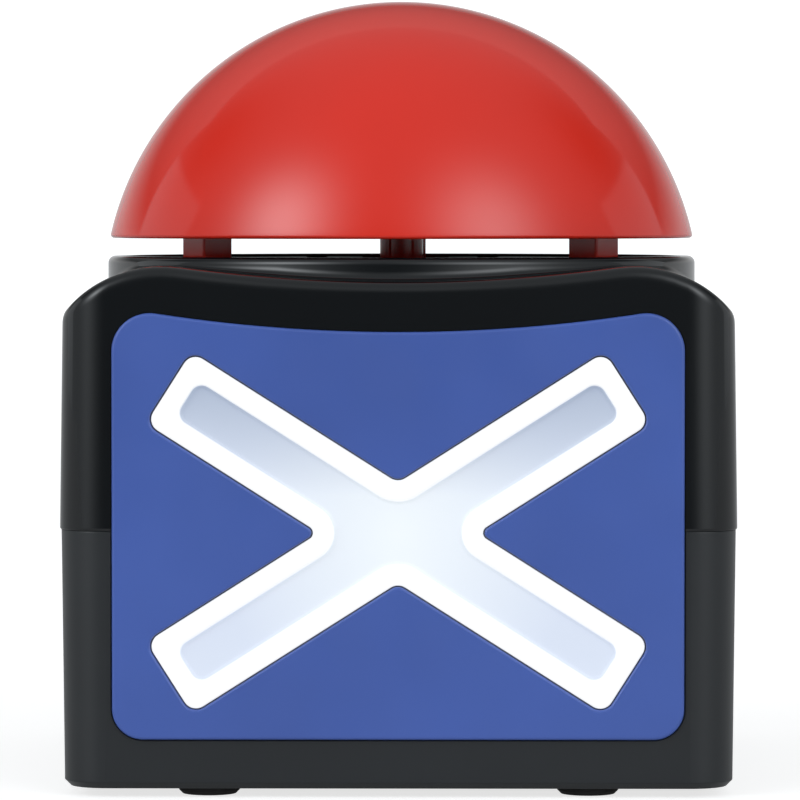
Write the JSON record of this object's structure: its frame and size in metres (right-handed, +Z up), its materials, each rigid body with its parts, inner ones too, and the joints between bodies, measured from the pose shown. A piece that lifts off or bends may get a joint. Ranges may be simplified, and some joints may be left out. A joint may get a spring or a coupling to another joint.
{
  "type": "quiz buzzer",
  "caption": "Square tabletop quiz buzzer with a large sprung press dome on a collar, a front panel with a lit X, a speaker, a slide switch and a battery bay.",
  "frame": {"origin": "on the surface that the feet rest on, under the middle of the housing", "axes": "+X to the right and +Y to the back as seen from the front panel, +Z up along the dome's travel"},
  "size_m": [0.1106, 0.1112, 0.1312],
  "materials": {
    "red_dome": "moulded gloss red",
    "gloss_black": "polished gloss black",
    "satin_grey": "fine satin texture",
    "blue_panel": "satin blue",
    "lens_white": "translucent white",
    "reflector_white": "matt white",
    "led_lens": "clear dome",
    "circuit_board": "solder mask",
    "chip_black": "epoxy drop",
    "capacitor_sleeve": "shrink sleeve",
    "resistor_body": "fired body with tinned ends",
    "zinc_screw": "bright zinc",
    "spring_steel": "drawn wire",
    "contact_metal": "nickel plated",
    "speaker_steel": "pressed and plated",
    "speaker_paper": "treated paper",
    "switch_plastic": "matt moulded",
    "silicone": "grey silicone",
    "cell_jacket": "printed sleeve without marks",
    "foot_rubber": "matt"
  },
  "bodies": {
    "housing": {"upper_shell": "gloss_black", "lower_shell": "satin_grey", "front_panel": "blue_panel", "x_lens": "lens_white", "light_box": "reflector_white", "light_box_screws": "zinc_screw", "led_board": "circuit_board", "leds": "led_lens", "led_board_screws": "zinc_screw", "main_board": "circuit_board", "board_chip": "chip_black", "board_capacitor": "capacitor_sleeve", "board_resistors": "resistor_body", "board_screws": "zinc_screw", "contact_dome": "silicone", "return_spring": "spring_steel", "speaker_frame": "speaker_steel", "speaker_cone": "speaker_paper", "speaker_magnet": "speaker_steel", "speaker_screws": "zinc_screw", "speaker_washers": "zinc_screw", "switch_case": "switch_plastic", "switch_clamp_screws": "zinc_screw", "battery_cells": "cell_jacket", "battery_plates": "contact_metal", "battery_springs": "spring_steel", "housing_screws": "zinc_screw", "rubber_feet": "foot_rubber"},
    "dome": {"dome_button": "red_dome", "leg_screws": "zinc_screw", "leg_washers": "zinc_screw"},
    "power_slider": {"power_knob": "switch_plastic"},
    "bay_cover": {"battery_door": "satin_grey"},
    "cover_screw_left": {"door_screw_left": "zinc_screw"},
    "cover_screw_right": {"door_screw_right": "zinc_screw"}
  },
  "joints": [
    {"name": "dome_press", "type": "slide", "parent": "housing", "child": "dome", "axis": [0, 0, -1], "range_m": [0, 0.0025], "stiffness_N_per_m": 600, "springref_m": -0.004, "deforming": ["return_spring", "contact_dome"]},
    {"name": "power_slide", "type": "slide", "parent": "housing", "child": "power_slider", "axis": [1, 0, 0], "range_m": [0, 0.004]},
    {"name": "cover_lift", "type": "slide", "parent": "housing", "child": "bay_cover", "axis": [0, 0, -1], "range_m": [0, 0.03]},
    {"name": "cover_screw_left_turn", "type": "hinge", "parent": "bay_cover", "child": "cover_screw_left", "pos_m": [-0.034, 0, 0.0029], "axis": [0, 0, 1], "range_deg": [0, 1800]},
    {"name": "cover_screw_right_turn", "type": "hinge", "parent": "bay_cover", "child": "cover_screw_right", "pos_m": [0.034, 0, 0.0029], "axis": [0, 0, 1], "range_deg": [0, 1800]}
  ]
}
